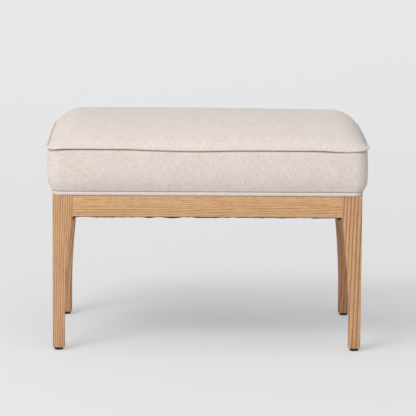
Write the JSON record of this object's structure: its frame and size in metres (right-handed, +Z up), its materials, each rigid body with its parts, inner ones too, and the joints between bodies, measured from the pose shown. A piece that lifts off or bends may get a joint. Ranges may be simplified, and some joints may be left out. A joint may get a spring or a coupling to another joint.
{
  "type": "storage ottoman",
  "caption": "Upholstered storage ottoman: a crowned, piped lid hinged at the back over a lined box, on an oak frame with tapered legs.",
  "frame": {"origin": "on the floor, under the middle of the ottoman", "axes": "+X is the width, to the right of someone facing the front; -Y is the front, +Y the hinged back; +Z is up"},
  "size_m": [0.648, 0.432, 0.4661],
  "materials": {
    "oak": "satin",
    "plywood": "matte",
    "linen": "matte",
    "foam": "matte",
    "wadding": "matte",
    "lining": "matte",
    "black_cloth": "matte",
    "glide_plastic": "satin",
    "felt": "matte",
    "hardware": "satin",
    "webbing": "matte"
  },
  "bodies": {
    "base": {"apron_back": "oak", "apron_front": "oak", "apron_left": "oak", "apron_right": "oak", "bottom_panel": "plywood", "box_wall_back": "plywood", "box_wall_front": "plywood", "box_wall_left": "plywood", "box_wall_right": "plywood", "boxing_cover": "linen", "cleat_back": "oak", "cleat_front": "oak", "cleat_left": "oak", "cleat_right": "oak", "corner_post_back_left": "plywood", "corner_post_back_right": "plywood", "corner_post_front_left": "plywood", "corner_post_front_right": "plywood", "dust_cover": "black_cloth", "glide_back_left": "glide_plastic", "glide_back_right": "glide_plastic", "glide_front_left": "glide_plastic", "glide_front_right": "glide_plastic", "hinge_left_box_leaf": "hardware", "hinge_left_pin": "hardware", "hinge_right_box_leaf": "hardware", "hinge_right_pin": "hardware", "leg_back_left": "oak", "leg_back_right": "oak", "leg_front_left": "oak", "leg_front_right": "oak", "lid_bumper_back_left": "felt", "lid_bumper_back_right": "felt", "lid_bumper_front_left": "felt", "lid_bumper_front_right": "felt", "lower_welt": "linen", "side_pad_back": "wadding", "side_pad_front": "wadding", "side_pad_left": "wadding", "side_pad_right": "wadding", "strap_bracket_left": "hardware", "strap_bracket_right": "hardware", "strap_left": "webbing", "strap_right": "webbing", "strap_rivet_left": "hardware", "strap_rivet_right": "hardware", "well_lining": "lining"},
    "lid": {"crown_foam": "foam", "crown_wadding": "wadding", "hinge_left_lid_leaf": "hardware", "hinge_right_lid_leaf": "hardware", "lid_board": "plywood", "lid_cover": "linen", "lid_liner": "lining", "strap_lid_screw_left": "hardware", "strap_lid_screw_right": "hardware", "upper_welt": "linen"}
  },
  "joints": [
    {"name": "lid_hinge", "type": "hinge", "parent": "base", "child": "lid", "pos_m": [0, 0.2125, 0.4107], "axis": [-1, 0, 0], "range_deg": [0, 95], "deforming": ["strap_left", "strap_right"]}
  ]
}
